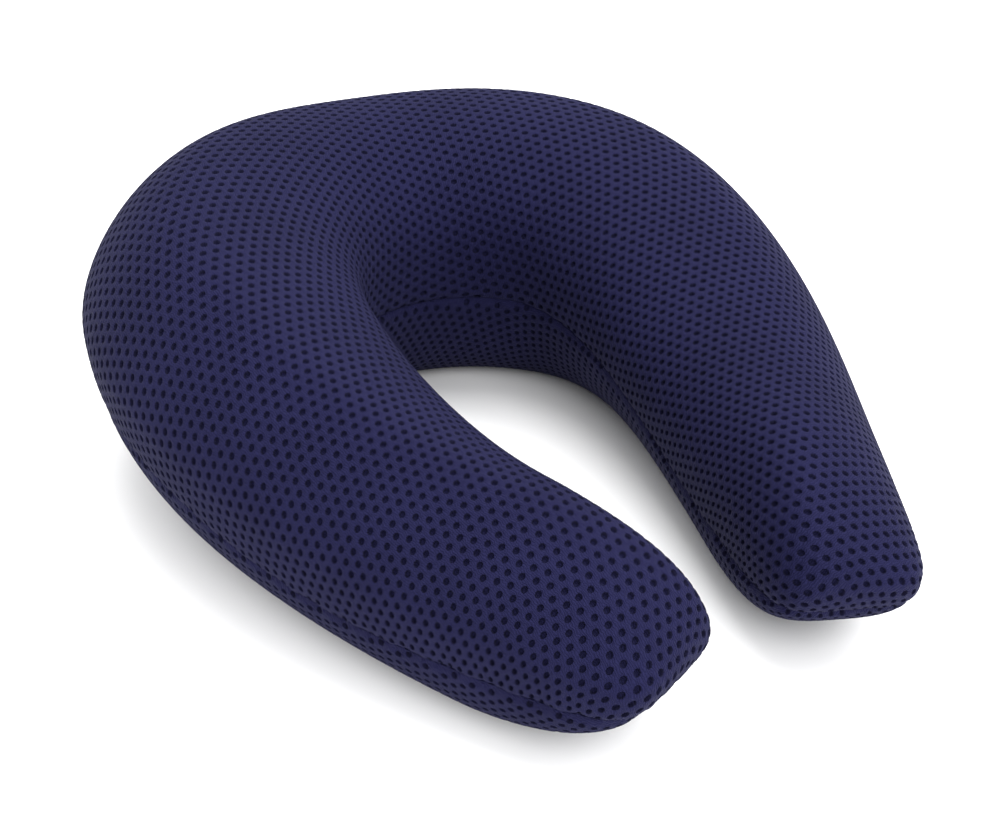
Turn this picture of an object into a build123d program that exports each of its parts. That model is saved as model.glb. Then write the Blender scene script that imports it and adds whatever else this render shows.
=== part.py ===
from build123d import *
import os
from math import atan, copysign, cos, degrees, pi, radians, sin

# U shaped neck pillow: a moulded foam core, sewn into a thin knitted liner, inside a washable
# cover of spacer mesh that opens with a coil zip along the back.
# Millimetres and degrees. +Z is up. The raised back of the U is towards +Y and its arms reach
# towards -Y, one each side of the YZ plane. The origin is on the floor, under the point that the
# back curves round, so the zip slider travels in a circle about the Z axis.

# Plan: the line through the middle of the right half, from the back to the tip of the arm.
BACK_RADIUS = 95.0
BACK_HALF_ANGLE = 50.0
BACK_REACH = 77.0
TIP_REACH = 65.0
TIP_HEADING = 22.0
TIP_X = 33.0
TIP_Y = -180.5

# Section: control values of smooth blends. The half widths and waist heights run from the end of
# the back's curve to the tip, the others from the middle of the back to the tip.
HALF_WIDTHS = (52.5, 52.5, 43.0, 32.0, 25.5)
WAIST_HEIGHTS = (76.5, 76.5, 23.0, 39.0)
CROWN_HEIGHTS = (126.0, 126.0, 144.0, 67.5, 66.5, 74.0)
CROWN_SHIFTS = (0.16, 0.16, 0.33, 0.30, -0.59)
# Roundness of each quarter of the section: 2 is an ellipse, more is squarer.
OUTER_CROWN_POWER = 1.66
INNER_CROWN_POWER = 2.0
BELLY_POWER_BACK = 1.9
BELLY_POWER_TIP = 3.4
SOLE_SINK = 1.2
TOE_LIFT = 5.0

# Rounded end of each arm.
CAP_LENGTH = 61.0
CAP_OUTER_POWER = 5.2
CAP_INNER_POWER = 4.9
CAP_HEIGHT_POWER = 1.8

# How finely the form is drawn.
BODY_STATION_STEP = 14.0
CAP_STATIONS = 11
LAST_CAP_ANGLE = 88.0
SECTION_POINTS = 32

# Layers, as depths below the outside of the cover.
COVER_THICKNESS = 3.0
LINER_OUTSIDE = 3.6
LINER_INSIDE = 4.2
FOAM_OUTSIDE = 4.5

# Seam between the top and bottom panels: level round the back, lower along the arms.
SEAM_BACK_HEIGHT = 52.0
SEAM_TIP_HEIGHT = 27.0
SEAM_DROP_START_Y = 40.0
SEAM_DROP_END_Y = -120.0
SEAM_GAP = 0.8
THREAD_SIZE = 0.6
LINER_SEAM_GAP = 0.5
LINER_THREAD_SIZE = 0.3
THREAD_OUTSIDE = 1.2
THREAD_INSIDE = 1.8

# Zip, centred on the back. Angles are turned about Z from +Y, positive towards -X. Heights are
# measured up the wall from the zip's middle line. OUTSIDE, INSIDE and DEPTH are depths below the
# cover's surface, LOW and HIGH are heights above it.
ZIP_SLOT_HALF_ANGLE = 44.0
ZIP_SLOT_HALF_HEIGHT = 5.0
TAPE_HALF_ANGLE = 45.5
TAPE_EDGE = 0.45
TAPE_HEIGHT = 12.0
TAPE_OUTSIDE = 1.2
TAPE_INSIDE = 1.7
TAPE_POCKET_MARGIN = 0.4
TAPE_POCKET_DEPTH = 1.05
TAPE_TO_PANEL_SEAM_HALF_ANGLE = 46.5
TEETH_HALF_ANGLE = 42.2
TEETH_PITCH = 2.0
TOOTH_GAP = 0.7
TEETH_EDGE = 0.4
TEETH_ROOT = 2.0
TEETH_HEIGHT = 3.0
TEETH_LOW = -1.1
TEETH_HIGH = 0.3
STOP_ANGLE = 43.0
TOP_STOP_LENGTH = 1.5
BOTTOM_STOP_LENGTH = 2.2
STOP_HIGH = 0.5
STITCH_HEIGHT = 7.0
STITCH_WIDTH = 0.5
STITCH_LOW = 0.05
STITCH_HIGH = 0.4
TACK_ANGLES = (44.3, 45.0)
TACK_HALF_HEIGHT = 6.0

# Zip slider, at the closed end of its travel.
SLIDER_ANGLE = -40.0
SLIDER_LENGTH = 11.0
SLIDER_HALF_HEIGHT = 4.3
SLIDER_CORNER = 1.8
FRONT_PLATE = (0.5, 1.4)
BACK_PLATE = (-3.0, -2.1)
FLANGE_INNER_HEIGHT = 3.3
FLANGE_LOW = -0.85
DIVIDER_LENGTH = 3.0
DIVIDER_THICKNESS = 0.5
DIVIDER_INSET = 0.6
BRIDGE_LENGTH = 7.0
BRIDGE_HEIGHT = 3.0
BRIDGE_WIDTH = 2.2
BRIDGE_BAR = 1.0
BRIDGE_CORNER = 1.2

# Pull tab, lying along the closed zip.
PIVOT_OUT = 2.4
PIN_RADIUS = 0.5
TAB_THICKNESS = 1.0
TAB_HALF_WIDTH = 2.7
TAB_EYE_HALF_WIDTH = 1.4
TAB_EYE_LENGTH = 4.6
TAB_LENGTH = 20.0
TAB_SLOT_LENGTH = 7.0
TAB_SLOT_WIDTH = 2.0
TAB_SLOT_FROM_END = 6.5

# Cutting shapes reach past what they cut: past the whole pillow, past its wall at the zip, or
# just past a row of teeth or the slider.
PAST_PILLOW = 400.0
PAST_WALL = 40.0
PAST_ZIP = 1.0


def bezier(u, values):
    while len(values) > 1:
        values = [(1 - u) * a + u * b for a, b in zip(values, values[1:])]
    return values[0]


def heading(angle):
    return Vector(sin(radians(angle)), cos(radians(angle)))


def arm_line():
    start = heading(BACK_HALF_ANGLE) * BACK_RADIUS
    leaving = heading(BACK_HALF_ANGLE + 90)
    tip = Vector(TIP_X, TIP_Y)
    arriving = heading(180 + TIP_HEADING)
    return Edge.make_bezier(start, start + leaving * BACK_REACH, tip - arriving * TIP_REACH, tip)


ARM = arm_line()
BACK_LENGTH = radians(BACK_HALF_ANGLE) * BACK_RADIUS
HALF_LENGTH = BACK_LENGTH + ARM.length


def centre_and_outward(distance):
    """The middle of the pillow in plan, and the level direction away from the neck."""
    if distance < BACK_LENGTH:
        outward = heading(degrees(distance / BACK_RADIUS))
        return outward * BACK_RADIUS, outward
    along = (distance - BACK_LENGTH) / ARM.length
    tangent = ARM.tangent_at(along)
    return ARM.position_at(along), Vector(-tangent.Y, tangent.X)


def rounding(along_cap, power):
    return (1 - along_cap**power) ** (1 / power)


def superellipse(angle, power):
    across = copysign(abs(cos(angle)) ** (2 / power), cos(angle))
    upward = copysign(abs(sin(angle)) ** (2 / power), sin(angle))
    return across, upward


def section_points(distance, depth):
    """One cross-section of the form, a given depth below the outside of the cover."""
    centre, outward = centre_and_outward(distance)
    along_arm = max(0.0, (distance - BACK_LENGTH) / ARM.length)
    along_half = distance / HALF_LENGTH
    along_cap = max(0.0, (distance - (HALF_LENGTH - CAP_LENGTH)) / (CAP_LENGTH - depth))
    half_width = bezier(along_arm, HALF_WIDTHS) - depth
    waist = bezier(along_arm, WAIST_HEIGHTS)
    rise = bezier(along_half, CROWN_HEIGHTS) - waist - depth
    drop = waist + SOLE_SINK - TOE_LIFT * along_arm**3 - depth
    shift = bezier(along_half, CROWN_SHIFTS)
    belly_power = bezier(along_arm, (BELLY_POWER_BACK,) * 3 + (BELLY_POWER_TIP,))
    points = []
    for index in range(SECTION_POINTS):
        angle = 2 * pi * index / SECTION_POINTS
        outer = cos(angle) >= 0
        crown_power = OUTER_CROWN_POWER if outer else INNER_CROWN_POWER
        across, upward = superellipse(angle, crown_power if sin(angle) >= 0 else belly_power)
        across += shift * max(upward, 0) * (1 - abs(across))
        across *= half_width * rounding(along_cap, CAP_OUTER_POWER if across > 0 else CAP_INNER_POWER)
        upward *= (rise if upward > 0 else drop) * rounding(along_cap, CAP_HEIGHT_POWER)
        place = centre + outward * across
        points.append(Vector(place.X, place.Y, waist + upward))
    return points


def closed_wire(points):
    """A smooth loop. All loops share evenly spaced knots, so that a loft between them stays light."""
    knots = list(range(len(points) + 1))
    return Wire([Edge.make_spline(points, periodic=True, parameters=knots)])


def mirrored(points):
    return [Vector(-point.X, point.Y, point.Z) for point in points]


def form(depth):
    """The whole U as one solid, a given depth below the outside of the cover."""
    body_length = HALF_LENGTH - CAP_LENGTH
    cap_length = CAP_LENGTH - depth
    steps = round(body_length / BODY_STATION_STEP)
    distances = [body_length * step / steps for step in range(steps)]
    for station in range(CAP_STATIONS + 1):
        distances.append(body_length + cap_length * sin(radians(LAST_CAP_ANGLE * station / CAP_STATIONS)))
    right = [section_points(distance, depth) for distance in distances]
    left = [mirrored(points) for points in reversed(right[1:])]
    return Solid.make_loft([closed_wire(points) for points in left + right])


def seam_edges(offset):
    """The seam in side view, moved up by an offset, from behind the back to beyond the tips."""
    high = SEAM_BACK_HEIGHT + offset
    low = SEAM_TIP_HEIGHT + offset
    third = (SEAM_DROP_START_Y - SEAM_DROP_END_Y) / 3
    behind = Line((0, PAST_PILLOW, high), (0, SEAM_DROP_START_Y, high))
    drop = Bezier(
        (0, SEAM_DROP_START_Y, high),
        (0, SEAM_DROP_START_Y - third, high),
        (0, SEAM_DROP_END_Y + third, low),
        (0, SEAM_DROP_END_Y, low),
    )
    ahead = Line((0, SEAM_DROP_END_Y, low), (0, -PAST_PILLOW, low))
    return [behind, drop, ahead]


def side_slab(low_edges, high_edges):
    """The space between two lines of the side view, right across the pillow."""
    back = Line(high_edges[0] @ 0, low_edges[0] @ 0)
    front = Line(low_edges[-1] @ 1, high_edges[-1] @ 1)
    face = make_face(low_edges + [front] + high_edges + [back])
    return extrude(face, PAST_PILLOW, dir=(1, 0, 0), both=True)


def seam_slab(thickness):
    return side_slab(seam_edges(-thickness / 2), seam_edges(thickness / 2))


def level_edges(height):
    return [Line((0, PAST_PILLOW, height), (0, -PAST_PILLOW, height))]


def above_seam(gap):
    return side_slab(seam_edges(gap / 2), level_edges(PAST_PILLOW))


def below_seam(gap):
    return side_slab(level_edges(0), seam_edges(-gap / 2))


def belly_fraction():
    """How far below the waist the zip runs, as a part of the belly's depth."""
    waist = WAIST_HEIGHTS[0]
    return (waist - SEAM_BACK_HEIGHT) / (waist + SOLE_SINK)


def zip_radius():
    across = (1 - belly_fraction() ** BELLY_POWER_BACK) ** (1 / BELLY_POWER_BACK)
    return BACK_RADIUS + HALF_WIDTHS[0] * across


def zip_tilt():
    """How far the wall at the zip leans out as it rises, in degrees."""
    below = belly_fraction()
    power = BELLY_POWER_BACK
    slope = below ** (power - 1) * (1 - below**power) ** (1 / power - 1)
    slope *= HALF_WIDTHS[0] / (WAIST_HEIGHTS[0] + SOLE_SINK)
    return degrees(atan(slope))


# Across the zip in the XZ plane: x runs outwards from the cover's surface, y up the wall.
ZIP_PROFILE = Plane(
    origin=(zip_radius(), 0, SEAM_BACK_HEIGHT),
    x_dir=(cos(radians(zip_tilt())), 0, -sin(radians(zip_tilt()))),
    z_dir=(0, -1, 0),
)


def zip_rectangle(low, high, bottom, top):
    """An upright rectangle across the zip, from depth low to high and height bottom to top."""
    middle = ZIP_PROFILE.from_local_coords(Vector((low + high) / 2, (bottom + top) / 2))
    plane = Plane(origin=middle, x_dir=ZIP_PROFILE.x_dir, z_dir=ZIP_PROFILE.z_dir)
    return plane * Rectangle(high - low, top - bottom)


def back_section(depth):
    points = [Vector(point.Y, 0, point.Z) for point in section_points(0, depth)]
    return Face(closed_wire(points))


def zip_strip(outside, inside, bottom, top):
    """A strip of a layer of the form that runs along the zip, in section."""
    layer = back_section(outside) - back_section(inside)
    return layer & zip_rectangle(-PAST_WALL, PAST_WALL, bottom, top)


def turned(profile, start_angle, end_angle):
    """Sweeps a profile round the Z axis between two angles along the zip."""
    swept = revolve(profile, Axis.Z, end_angle - start_angle)
    return Rot(0, 0, 90 + start_angle) * swept


def arc_angle(length):
    return degrees(length / zip_radius())


def zip_slot():
    opening = zip_rectangle(-PAST_WALL, PAST_WALL, -ZIP_SLOT_HALF_HEIGHT, ZIP_SLOT_HALF_HEIGHT)
    return turned(opening, -ZIP_SLOT_HALF_ANGLE, ZIP_SLOT_HALF_ANGLE)


def tape_pocket():
    reach = TAPE_HEIGHT + TAPE_POCKET_MARGIN
    profile = zip_strip(TAPE_POCKET_DEPTH, COVER_THICKNESS + TAPE_POCKET_MARGIN, -reach, reach)
    half_angle = TAPE_HALF_ANGLE + arc_angle(TAPE_POCKET_MARGIN)
    return turned(profile, -half_angle, half_angle)


def cover_panels(outer_form):
    shell = outer_form - form(COVER_THICKNESS)
    shell = shell - zip_slot() - tape_pocket()
    return shell & above_seam(SEAM_GAP), shell & below_seam(SEAM_GAP)


def cover_seam_thread():
    ring = form(THREAD_OUTSIDE) - form(THREAD_INSIDE)
    ring = ring & seam_slab(THREAD_SIZE)
    along_zip = zip_rectangle(-PAST_WALL, PAST_WALL, -ZIP_SLOT_HALF_HEIGHT, ZIP_SLOT_HALF_HEIGHT)
    half_angle = TAPE_TO_PANEL_SEAM_HALF_ANGLE
    return ring - turned(along_zip, -half_angle, half_angle)


def liner_pieces():
    skin = form(LINER_OUTSIDE) - form(LINER_INSIDE)
    top = skin & above_seam(LINER_SEAM_GAP)
    bottom = skin & below_seam(LINER_SEAM_GAP)
    thread = skin & seam_slab(LINER_THREAD_SIZE)
    return top, bottom, thread


def zip_tape(side):
    edge, reach = sorted((side * TAPE_EDGE, side * TAPE_HEIGHT))
    profile = zip_strip(TAPE_OUTSIDE, TAPE_INSIDE, edge, reach)
    return turned(profile, -TAPE_HALF_ANGLE, TAPE_HALF_ANGLE)


def zip_teeth(side):
    """One row of teeth, held together by the coil's outer bends along its root."""
    low, high = sorted((side * TEETH_EDGE, side * TEETH_HEIGHT))
    band = turned(zip_rectangle(TEETH_LOW, TEETH_HIGH, low, high), -TEETH_HALF_ANGLE, TEETH_HALF_ANGLE)
    low, high = sorted((0, side * TEETH_ROOT))
    gap_profile = zip_rectangle(TEETH_LOW - PAST_ZIP, TEETH_HIGH + PAST_ZIP, low, high)
    pitch = arc_angle(TEETH_PITCH)
    gap = arc_angle(TOOTH_GAP)
    count = int(2 * TEETH_HALF_ANGLE / pitch) - 1
    first = -pitch * (count - 1) / 2 - gap / 2
    one_gap = turned(gap_profile, first, first + gap)
    gaps = [Rot(0, 0, pitch * index) * one_gap for index in range(count)]
    return band - gaps


def zip_block(angle, length, low, high, bottom, top):
    half = arc_angle(length) / 2
    return turned(zip_rectangle(low, high, bottom, top), angle - half, angle + half)


def zip_top_stops():
    upper = zip_block(-STOP_ANGLE, TOP_STOP_LENGTH, TEETH_LOW, STOP_HIGH, TEETH_EDGE, TEETH_HEIGHT)
    lower = zip_block(-STOP_ANGLE, TOP_STOP_LENGTH, TEETH_LOW, STOP_HIGH, -TEETH_HEIGHT, -TEETH_EDGE)
    return upper + lower


def zip_bottom_stop():
    return zip_block(STOP_ANGLE, BOTTOM_STOP_LENGTH, TEETH_LOW, STOP_HIGH, -TEETH_HEIGHT, TEETH_HEIGHT)


def zip_stitching(side):
    middle = side * STITCH_HEIGHT
    profile = zip_strip(-STITCH_HIGH, -STITCH_LOW, middle - STITCH_WIDTH / 2, middle + STITCH_WIDTH / 2)
    return turned(profile, -ZIP_SLOT_HALF_ANGLE, ZIP_SLOT_HALF_ANGLE)


def zip_end_tacks():
    profile = zip_strip(-STITCH_HIGH, -STITCH_LOW, -TACK_HALF_HEIGHT, TACK_HALF_HEIGHT)
    start, end = TACK_ANGLES
    return turned(profile, start, end) + turned(profile, -end, -start)


def slider_plane():
    """At the slider: x runs towards the other end of the zip, y up the wall, z outwards."""
    turn = 90 + SLIDER_ANGLE
    origin = ZIP_PROFILE.origin.rotate(Axis.Z, turn)
    forward = Vector(0, 1, 0).rotate(Axis.Z, turn)
    outward = ZIP_PROFILE.x_dir.rotate(Axis.Z, turn)
    return Plane(origin=origin, x_dir=forward, z_dir=outward)


def slider_plate(plane, low, high):
    """A plate curved to the zip's circle, with rounded corners."""
    half = SLIDER_HALF_HEIGHT
    plate = zip_block(SLIDER_ANGLE, 2 * SLIDER_LENGTH, low, high, -half, half)
    outline = plane * RectangleRounded(SLIDER_LENGTH, 2 * half, SLIDER_CORNER)
    return plate & extrude(outline, 2 * BRIDGE_HEIGHT, both=True)


def zip_slider_body():
    plane = slider_plane()
    front = slider_plate(plane, FLANGE_LOW, FRONT_PLATE[1])
    inner = FLANGE_INNER_HEIGHT
    channel_low = FLANGE_LOW - PAST_ZIP
    front -= zip_block(SLIDER_ANGLE, 2 * SLIDER_LENGTH, channel_low, FRONT_PLATE[0], -inner, inner)
    back = slider_plate(plane, *BACK_PLATE)
    divider_angle = SLIDER_ANGLE - arc_angle((SLIDER_LENGTH - DIVIDER_LENGTH) / 2 - DIVIDER_INSET)
    half = DIVIDER_THICKNESS / 2
    low, high = sum(BACK_PLATE) / 2, sum(FRONT_PLATE) / 2
    divider = zip_block(divider_angle, DIVIDER_LENGTH, low, high, -half, half)
    return front + divider + back + slider_bridge(plane)


def slider_bridge(plane):
    """An arch along the slider that the pull tab's pin hangs in."""
    side_view = Plane(origin=plane.origin, x_dir=plane.x_dir, z_dir=plane.y_dir * -1)
    foot = sum(FRONT_PLATE) / 2
    rise = FRONT_PLATE[1] - foot + BRIDGE_HEIGHT
    outside = Pos(0, foot + rise / 2) * Rectangle(BRIDGE_LENGTH, rise)
    outside = fillet(outside.vertices().group_by(Axis.Y)[-1], BRIDGE_CORNER)
    inner_length = BRIDGE_LENGTH - 2 * BRIDGE_BAR
    inside = Pos(0, foot + rise / 2 - BRIDGE_BAR) * Rectangle(inner_length, rise)
    arch = side_view * (outside - inside)
    return extrude(arch, BRIDGE_WIDTH / 2, both=True)


def zip_pull_tab():
    plane = slider_plane()
    level = plane.offset(PIVOT_OUT)
    overhang = PIN_RADIUS + TAB_THICKNESS / 2
    outline = RectangleRounded(TAB_LENGTH + overhang, 2 * TAB_HALF_WIDTH, TAB_HALF_WIDTH / 2)
    blade = Pos((TAB_LENGTH - overhang) / 2, 0) * outline
    eye = Pos(TAB_EYE_LENGTH / 2, 0) * Rectangle(TAB_EYE_LENGTH, 2 * TAB_EYE_HALF_WIDTH)
    eye_back = Pos(-overhang / 2, 0) * Rectangle(overhang + PAST_ZIP, 2 * TAB_EYE_HALF_WIDTH)
    slot = Pos(TAB_LENGTH - TAB_SLOT_FROM_END, 0) * SlotOverall(TAB_SLOT_LENGTH, TAB_SLOT_WIDTH)
    blade = blade - eye - eye_back - slot
    plate = extrude(level * blade, TAB_THICKNESS / 2, both=True)
    pin_plane = Plane(origin=level.origin, x_dir=plane.x_dir, z_dir=plane.y_dir)
    pin = extrude(pin_plane * Circle(PIN_RADIUS), TAB_HALF_WIDTH - TAB_THICKNESS / 2, both=True)
    return plate + pin


def write(name, shape):
    solids = shape.solids()
    piece = solids[0] if len(solids) == 1 else Compound(children=solids)
    export_step(piece, f"parts/{name}.step")


def main():
    os.makedirs("parts", exist_ok=True)
    cover_top, cover_bottom = cover_panels(form(0))
    liner_top, liner_bottom, liner_thread = liner_pieces()
    write("foam_core", form(FOAM_OUTSIDE))
    write("liner_top_panel", liner_top)
    write("liner_bottom_panel", liner_bottom)
    write("liner_seam_thread", liner_thread)
    write("cover_top_panel", cover_top)
    write("cover_bottom_panel", cover_bottom)
    write("cover_seam_thread", cover_seam_thread())
    write("zip_tape_upper", zip_tape(1))
    write("zip_tape_lower", zip_tape(-1))
    write("zip_teeth_upper", zip_teeth(1))
    write("zip_teeth_lower", zip_teeth(-1))
    write("zip_stitching_upper", zip_stitching(1))
    write("zip_stitching_lower", zip_stitching(-1))
    write("zip_top_stops", zip_top_stops())
    write("zip_bottom_stop", zip_bottom_stop())
    write("zip_end_tacks", zip_end_tacks())
    write("zip_slider_body", zip_slider_body())
    write("zip_pull_tab", zip_pull_tab())


main()
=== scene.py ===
import bpy
import bmesh
import numpy as np
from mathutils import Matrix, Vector
from mathutils.bvhtree import BVHTree


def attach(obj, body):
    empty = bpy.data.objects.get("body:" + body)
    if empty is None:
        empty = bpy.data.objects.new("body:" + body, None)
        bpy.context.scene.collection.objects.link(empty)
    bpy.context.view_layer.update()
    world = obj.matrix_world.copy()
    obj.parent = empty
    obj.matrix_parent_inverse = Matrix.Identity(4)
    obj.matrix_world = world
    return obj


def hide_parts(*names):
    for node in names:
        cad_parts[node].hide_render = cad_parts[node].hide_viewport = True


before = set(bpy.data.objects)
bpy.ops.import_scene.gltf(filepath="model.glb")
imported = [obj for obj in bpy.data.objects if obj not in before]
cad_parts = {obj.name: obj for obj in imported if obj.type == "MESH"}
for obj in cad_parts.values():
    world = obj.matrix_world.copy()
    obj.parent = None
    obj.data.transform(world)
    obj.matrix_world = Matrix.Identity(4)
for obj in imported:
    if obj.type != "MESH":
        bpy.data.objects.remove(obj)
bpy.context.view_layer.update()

# Neck pillow looks: the two panels of spacer mesh are laid out flat like a sewing pattern, filled
# with a hexagonal lattice of holes and wrapped back round the form, then sewn together.
# Lengths below are in millimetres and angles in degrees unless a comment says otherwise.
MM = 0.001

# The form, the same as the CAD cover's outside.
BACK_RADIUS = 95.0
BACK_HALF_ANGLE = 50.0
BACK_REACH = 77.0
TIP_REACH = 65.0
TIP_HEADING = 22.0
TIP = (33.0, -180.5)
HALF_WIDTHS = (52.5, 52.5, 43.0, 32.0, 25.5)
WAIST_HEIGHTS = (76.5, 76.5, 23.0, 39.0)
CROWN_HEIGHTS = (126.0, 126.0, 144.0, 67.5, 66.5, 74.0)
CROWN_SHIFTS = (0.16, 0.16, 0.33, 0.30, -0.59)
OUTER_CROWN_POWER = 1.66
INNER_CROWN_POWER = 2.0
BELLY_POWERS = (1.9, 1.9, 1.9, 3.4)
SOLE_SINK = 1.2
TOE_LIFT = 5.0
CAP_LENGTH = 61.0
CAP_OUTER_POWER = 5.2
CAP_INNER_POWER = 4.9
CAP_HEIGHT_POWER = 1.8

# The seam between the panels, in side view, and the width of cloth turned in along it.
SEAM_BACK_HEIGHT = 52.0
SEAM_TIP_HEIGHT = 27.0
SEAM_DROP_START_Y = 40.0
SEAM_DROP_END_Y = -120.0
SEAM_GAP = 0.05
SEAM_ALLOWANCE = 1.5

# The groove and puckers the seam pulls into the cloth. Slopes flatter than the least steepness
# count as that steep when distances to the seam are measured.
GROOVE_DEPTH = 1.2
GROOVE_WIDTH = 1.4
PUCKER_SIZE = 0.35
PUCKER_WIDTH = 3 * GROOVE_WIDTH
PUCKER_PITCH = 9.0
PUCKER_SLANT = 0.6
CROSS_PUCKER_PITCH = 1.7 * PUCKER_PITCH
CROSS_PUCKER_SLANT = 0.4
PULL_REACH = 14.0
LEAST_STEEPNESS = 0.35

# The zip's slot in the cover.
SLOT_HALF_ANGLE = 44.0
SLOT_HALF_HEIGHT = 4.85
SLOT_FOLD_DEPTH = 0.9
SLOT_FOLD_WIDTH = 1.0
SLOT_SEARCH_ANGLE = 3.0
ZIP_STITCH_HEIGHT = 6.8
ZIP_STITCH_SINK = 0.35
ZIP_STITCH_SINK_WIDTH = 0.7
TACK_HALF_HEIGHT = 5.8

# The lattice of holes in the spacer mesh: stretched over the back, closer together at the tips.
# Cells centred less than the edge margin from the seam or the zip's slot have no hole. The web drop
# is how far the net sinks between the rims of the holes.
HOLE_PITCH = 4.75
TIP_HOLE_PITCH = 3.6
PITCH_CHANGE_START_Y = 20.0
PITCH_CHANGE_END_Y = -175.0
HOLE_HALF_LENGTH = 1.50
HOLE_HALF_WIDTH = 1.17
HOLE_SIDES = 8
HOLE_DEPTH = 1.2
HOLE_TAPER = 0.86
WEB_DROP = 0.22
TOP_LATTICE_ANGLE = 90.0
BOTTOM_LATTICE_ANGLE = 0.0
EDGE_MARGIN = 0.8

# How finely the form and the flat patterns are drawn, and how far a pattern runs past the seam.
FINE_BODY_ROWS = 130
FINE_CAP_ROWS = 50
FINE_COLUMNS = 180
PATTERN_BODY_ROWS = 24
PATTERN_CAP_ROWS = 9
PATTERN_COLUMNS = 36
PATTERN_ROUNDS = 60
PATTERN_CURVATURE = 0.6
PATTERN_MARGIN = 4.5

# Sewn stitches: each is a short thread, thinner at its ends and diving into the cloth there.
STITCH_SIDES = 6
STITCH_RINGS = 6
STITCH_LIFT = 0.6
STITCH_DIVE = 2.2
STITCH_END_FULLNESS = 0.55
SEAM_END_MARGIN = 0.5
SEAM_LINE_ROWS = 6 * FINE_CAP_ROWS
SEAM_LINE_COLUMNS = 340
SLOT_LINE_POINTS = 200
WALL_ANGLES = (-60.0, 40.0)
WALL_POINTS = 600
TACK_ANGLE = SLOT_HALF_ANGLE + 0.6

# Colours as linear red, green and blue, most of them as a dark and a light shade.
FACE_YARN = ((0.0034, 0.0034, 0.0180), (0.0098, 0.0098, 0.0400))
# The holes' walls and floors are darker than the face: painted shade inside the holes, where the yarn is
# the same navy as the face.
SHADED_WALL_YARN = ((0.0014, 0.0014, 0.0070), (0.0045, 0.0045, 0.0180))
SHADED_FLOOR_YARN = ((0.0026, 0.0026, 0.0130), (0.0080, 0.0080, 0.0320))
ZIP_TAPE = ((0.0030, 0.0030, 0.0120), (0.0090, 0.0090, 0.0340))
ZIP_NYLON = ((0.0030, 0.0030, 0.0130), (0.0070, 0.0070, 0.0260))
ZIP_ENAMEL = ((0.0040, 0.0040, 0.0140), (0.0120, 0.0120, 0.0360))
SHEEN_TINT = (0.45, 0.45, 0.85)
LINER_KNIT = ((0.55, 0.55, 0.53), (0.75, 0.75, 0.73))
LINER_THREAD = ((0.60, 0.60, 0.58), (0.80, 0.80, 0.78))
FOAM = ((0.62, 0.58, 0.46), (0.80, 0.77, 0.66))
FLOOR_PAPER = ((0.94, 0.94, 0.94), (0.96, 0.96, 0.96))

# Scales of the knit and weave textures (larger is finer), and the slant of the ribs.
MESH_RIBS = 380.0
LINER_RIBS = 900.0
THREAD_RIBS = 1500.0
TAPE_WEAVE = 1100.0
RIB_SLANT = 32.0

# The studio, in metres and watts.
FLOOR_HALF_SIZE = 6.0
WORLD_STRENGTH = 1.22
LIGHT_TARGET = (0.0, 0.0, 0.03)

# The camera looks at a target point from an azimuth and elevation, with a slight roll.
# Its lens is for a 36 mm sensor, and its shift is a share of the picture's width.
CAMERA_AZIMUTH = -30.31
CAMERA_ELEVATION = 28.02
CAMERA_ROLL = 0.49
CAMERA_DISTANCE = 482.8
CAMERA_TARGET = (0.0, -19.35, 40.0)
CAMERA_LENS = 44.83
CAMERA_SHIFT = (0.0045, -0.020)


def bezier(u, values):
    while len(values) > 1:
        values = [(1 - u) * a + u * b for a, b in zip(values, values[1:])]
    return values[0]


def heading(angle):
    angle = np.radians(angle)
    return np.stack([np.sin(angle), np.cos(angle)], axis=-1)


def arm_controls():
    start = heading(BACK_HALF_ANGLE) * BACK_RADIUS
    tip = np.array(TIP)
    leaving = heading(BACK_HALF_ANGLE + 90) * BACK_REACH
    arriving = heading(180 + TIP_HEADING) * TIP_REACH
    return [start, start + leaving, tip - arriving, tip]


ARM = arm_controls()
ARM_STEPS = np.linspace(0, 1, 801)
ARM_POINTS = bezier(ARM_STEPS[:, None], ARM)
ARM_LENGTHS = np.concatenate([[0], np.cumsum(np.linalg.norm(np.diff(ARM_POINTS, axis=0), axis=1))])
ARM_LENGTH = ARM_LENGTHS[-1]
BACK_LENGTH = np.radians(BACK_HALF_ANGLE) * BACK_RADIUS
HALF_LENGTH = BACK_LENGTH + ARM_LENGTH


def centre_and_outward(distance):
    """The middle of the right half in plan, and the level direction away from the neck."""
    back_outward = heading(np.degrees(distance / BACK_RADIUS))
    u = np.interp(distance - BACK_LENGTH, ARM_LENGTHS, ARM_STEPS)[..., None]
    tangent = bezier(u, [b - a for a, b in zip(ARM, ARM[1:])])
    tangent = tangent / np.linalg.norm(tangent, axis=-1, keepdims=True)
    arm_outward = np.stack([-tangent[..., 1], tangent[..., 0]], axis=-1)
    on_back = (distance < BACK_LENGTH)[..., None]
    centre = np.where(on_back, back_outward * BACK_RADIUS, bezier(u, ARM))
    return centre, np.where(on_back, back_outward, arm_outward)


def rounding(along_cap, power):
    return (1 - along_cap**power) ** (1 / power)


def signed_power(value, power):
    return np.sign(value) * np.abs(value) ** (2 / power)


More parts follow.
